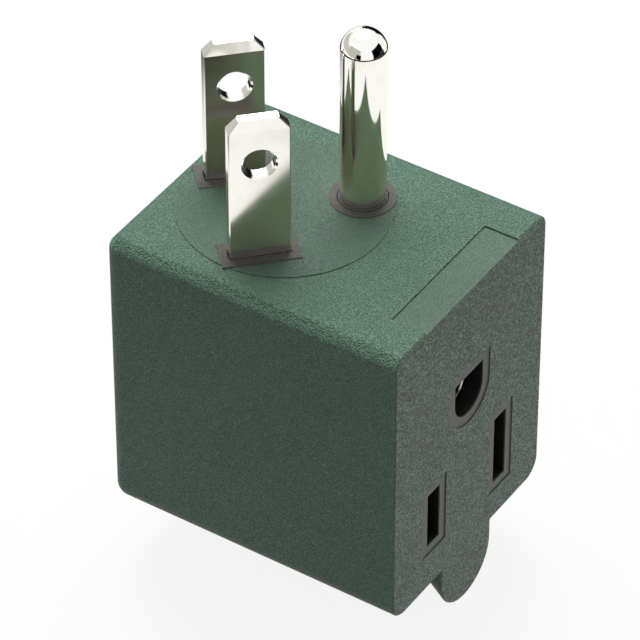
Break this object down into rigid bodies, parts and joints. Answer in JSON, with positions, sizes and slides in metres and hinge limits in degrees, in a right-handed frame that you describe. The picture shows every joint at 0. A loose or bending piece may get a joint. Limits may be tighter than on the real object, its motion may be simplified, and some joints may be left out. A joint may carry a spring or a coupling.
{
  "type": "right angle plug adapter",
  "caption": "Green right angle plug adapter with two flat blades and a ground pin on top, and a three-prong outlet on the front.",
  "frame": {"origin": "centre of the raised disc on the plug face, on the disc's surface", "axes": "+Z along the prongs, out of the plug face; -Y out of the outlet face; +X to the right of the outlet, seen from its front"},
  "size_m": [0.028, 0.0348, 0.0629],
  "materials": {
    "jacket": "fine spark-eroded grain, soft sheen",
    "moulding": "plain moulded, soft sheen",
    "plated": "bright nickel plate",
    "strip": "rolled brass strip"
  },
  "bodies": {
    "root": {"outer_jacket": "jacket", "plug_core": "moulding", "outlet_plate": "moulding", "ground_bush": "moulding", "socket_core": "moulding", "core_back": "moulding", "strap_cover": "moulding", "blade_retainer": "moulding", "line_blade": "plated", "neutral_blade": "plated", "ground_pin": "plated", "line_strap": "strip", "neutral_strap": "strip", "ground_strap": "strip", "line_contact": "strip", "neutral_contact": "strip", "ground_contact": "strip", "blade_rivets": "strip"}
  },
  "joints": []
}
